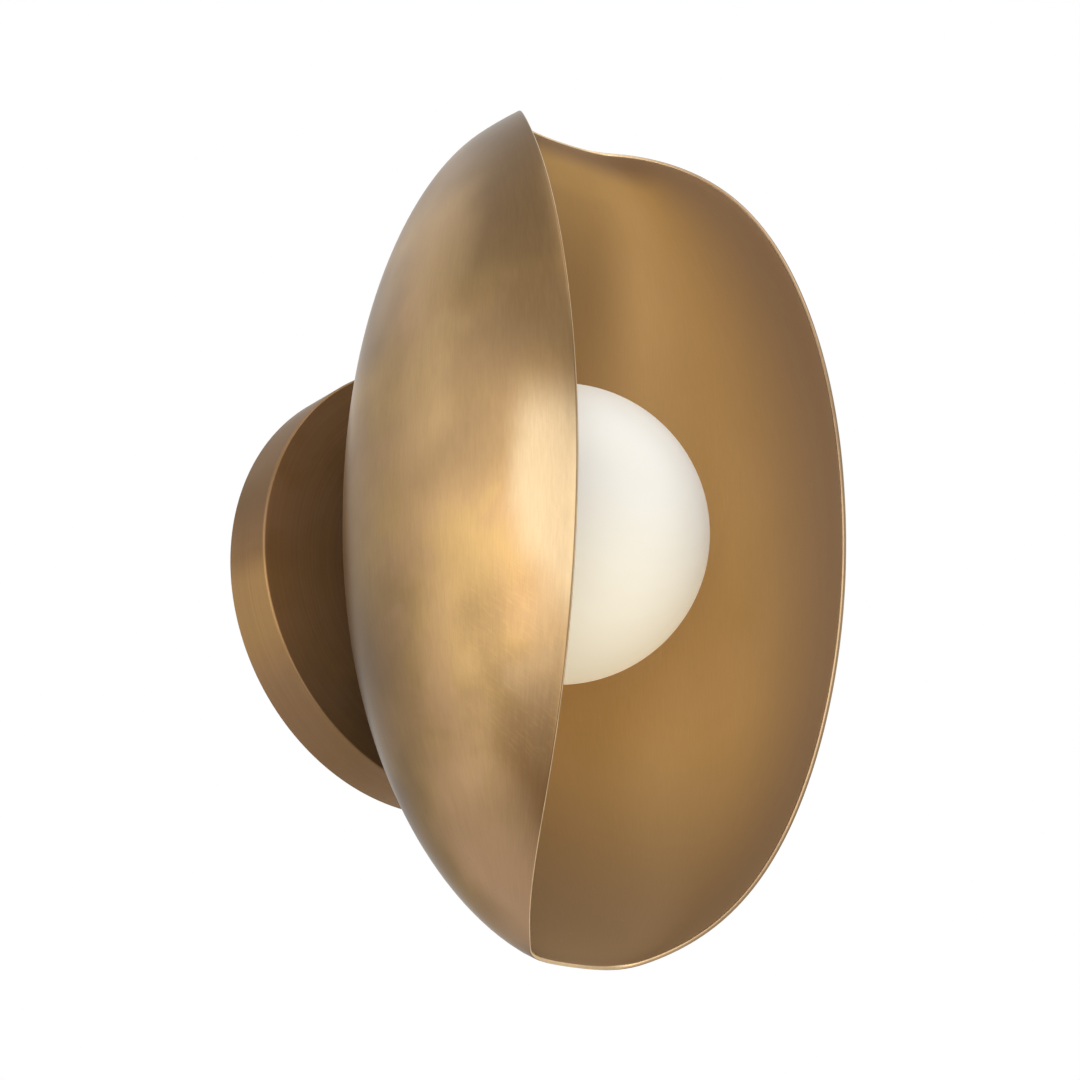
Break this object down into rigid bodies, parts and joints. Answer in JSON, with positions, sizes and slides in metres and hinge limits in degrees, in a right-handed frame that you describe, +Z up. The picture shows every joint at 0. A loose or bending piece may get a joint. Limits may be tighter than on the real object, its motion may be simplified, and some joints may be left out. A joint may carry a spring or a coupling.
{
  "type": "wall light",
  "caption": "Wall light with an open egg-shaped metal shade, cut to an elliptical rim, around a screw-on opal glass globe, on a round canopy with a crossbar for a junction box.",
  "frame": {"origin": "centre of the canopy on the wall plane, midway between the two box screw slots", "axes": "+Y into the wall, -Y into the room, +Z up"},
  "size_m": [0.1524, 0.1558, 0.283],
  "materials": {
    "aged_brass": "hand-brushed and patinated, lacquered",
    "turned_brass": "turned, bright",
    "zinc_steel": "zinc plated",
    "tinned_copper": "tin plated",
    "green_steel": "green passivated",
    "white_ceramic": "unglazed steatite",
    "black_plastic": "moulded",
    "orange_plastic": "moulded",
    "black_sleeve": "insulation",
    "white_sleeve": "insulation",
    "green_sleeve": "insulation",
    "silicone": "matt",
    "bulb_plastic": "frosted",
    "opal_glass": "opal, satin outside"
  },
  "bodies": {
    "base": {"wall_bracket": "zinc_steel", "canopy": "aged_brass", "canopy_screws": "aged_brass", "ground_terminal": "tinned_copper", "ground_screw": "green_steel", "threaded_tube": "zinc_steel", "rear_nut": "zinc_steel", "cup_nut": "zinc_steel", "lock_washer": "zinc_steel", "tube_bushing": "black_plastic", "spacer_collar": "aged_brass", "shade": "aged_brass", "lamp_cup": "turned_brass", "lampholder_strap": "zinc_steel", "lampholder": "white_ceramic", "lampholder_contacts": "tinned_copper", "lampholder_screws": "zinc_steel", "line_lead": "black_sleeve", "neutral_lead": "white_sleeve", "ground_lead": "green_sleeve", "wire_connectors": "orange_plastic"},
    "globe_seal": {"globe_gasket": "silicone"},
    "globe": {"globe_glass": "opal_glass", "globe_collar": "turned_brass"},
    "bulb": {"bulb_base": "bulb_plastic", "bulb_cover": "bulb_plastic", "bulb_pins": "tinned_copper", "bulb_led_post": "white_ceramic"}
  },
  "joints": [
    {"name": "globe_travel", "type": "slide", "parent": "base", "child": "globe_seal", "axis": [0, -1, 0], "range_m": [0, 0.0076]},
    {"name": "globe_turn", "type": "hinge", "parent": "globe_seal", "child": "globe", "pos_m": [0, -0.0778, 0], "axis": [0, -1, 0], "range_deg": [0, 1080]},
    {"name": "bulb_pull", "type": "slide", "parent": "base", "child": "bulb", "axis": [0, -1, 0], "range_m": [0, 0.01]}
  ],
  "couplings": [
    {"joint": "globe_travel", "follows": "globe_turn", "m_per_rad": 0.00039789}
  ]
}
